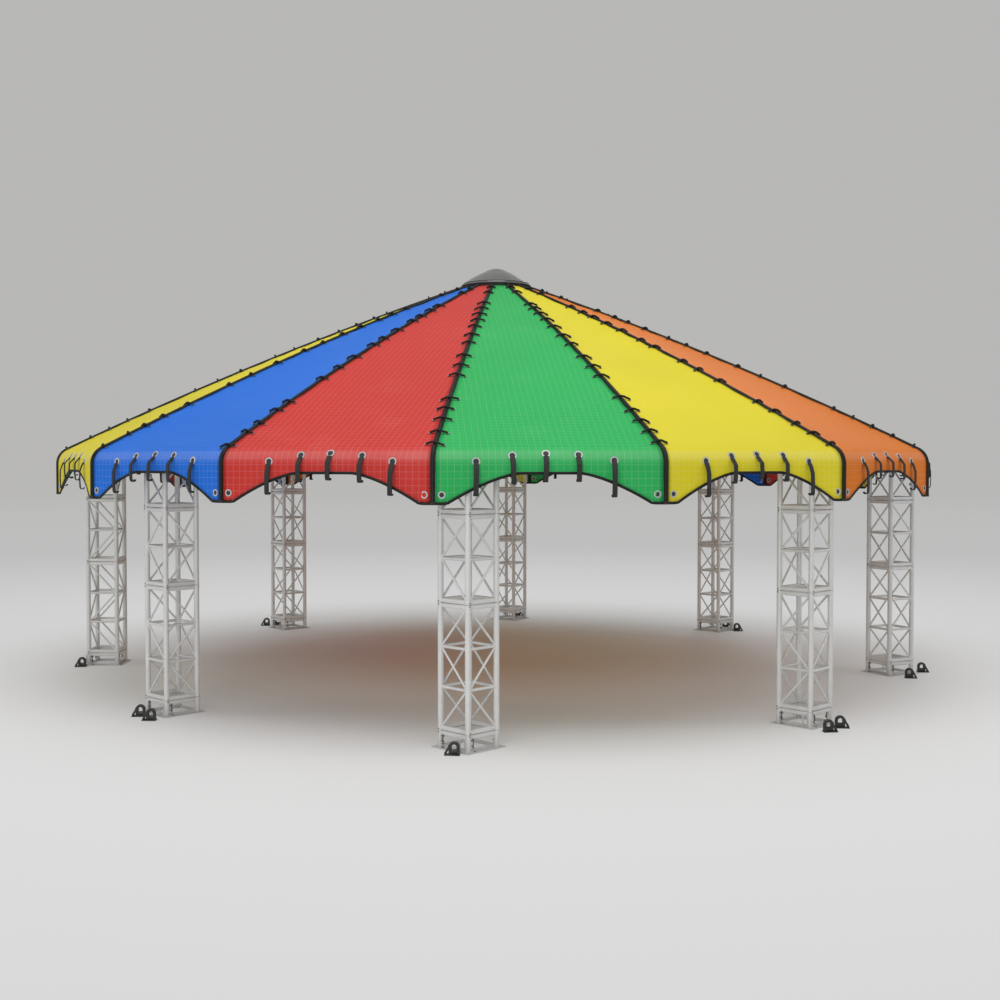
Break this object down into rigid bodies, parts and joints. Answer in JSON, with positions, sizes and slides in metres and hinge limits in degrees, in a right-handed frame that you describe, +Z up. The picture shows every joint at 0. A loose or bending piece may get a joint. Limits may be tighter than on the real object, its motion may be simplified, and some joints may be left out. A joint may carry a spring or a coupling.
{
  "type": "round event canopy",
  "caption": "Round open-sided event canopy: coloured roof panels laced to bent seam tubes, a scalloped valance and lattice truss towers.",
  "frame": {"origin": "on the ground, under the middle of the roof", "axes": "+Z up, -Y towards the front, +X to the right as seen from the front"},
  "size_m": [11.9302, 11.9302, 5.657],
  "materials": {
    "fabric_green": "coated tarpaulin, satin, with a fine woven grid",
    "fabric_yellow": "coated tarpaulin, satin, with a fine woven grid",
    "fabric_orange": "coated tarpaulin, satin, with a fine woven grid",
    "fabric_blue": "coated tarpaulin, satin, with a fine woven grid",
    "fabric_red": "coated tarpaulin, satin, with a fine woven grid",
    "seam_tube": "black satin coating",
    "truss_aluminium": "matt drawn aluminium, welded joints",
    "cap": "dark grey, half gloss",
    "anchor_steel": "black paint"
  },
  "bodies": {
    "root": {"panel_01": "fabric_green", "panel_02": "fabric_yellow", "panel_03": "fabric_orange", "panel_04": "fabric_blue", "panel_05": "fabric_yellow", "panel_06": "fabric_red", "panel_07": "fabric_blue", "panel_08": "fabric_green", "panel_09": "fabric_yellow", "panel_10": "fabric_orange", "panel_11": "fabric_blue", "panel_12": "fabric_red", "panel_13": "fabric_green", "panel_14": "fabric_yellow", "panel_15": "fabric_blue", "panel_16": "fabric_red", "rafter_01": "seam_tube", "rafter_02": "seam_tube", "rafter_03": "seam_tube", "rafter_04": "seam_tube", "rafter_05": "seam_tube", "rafter_06": "seam_tube", "rafter_07": "seam_tube", "rafter_08": "seam_tube", "rafter_09": "seam_tube", "rafter_10": "seam_tube", "rafter_11": "seam_tube", "rafter_12": "seam_tube", "rafter_13": "seam_tube", "rafter_14": "seam_tube", "rafter_15": "seam_tube", "rafter_16": "seam_tube", "tower_1": "truss_aluminium", "tower_2": "truss_aluminium", "tower_3": "truss_aluminium", "tower_4": "truss_aluminium", "tower_5": "truss_aluminium", "tower_6": "truss_aluminium", "tower_7": "truss_aluminium", "tower_8": "truss_aluminium", "anchor_01": "anchor_steel", "anchor_02": "anchor_steel", "anchor_03": "anchor_steel", "anchor_04": "anchor_steel", "anchor_05": "anchor_steel", "anchor_06": "anchor_steel", "anchor_07": "anchor_steel", "anchor_08": "anchor_steel", "anchor_09": "anchor_steel", "anchor_10": "anchor_steel", "anchor_11": "anchor_steel", "anchor_12": "anchor_steel", "anchor_13": "anchor_steel", "beam_ring": "truss_aluminium", "crown_ring": "truss_aluminium", "cap": "cap"}
  },
  "joints": []
}
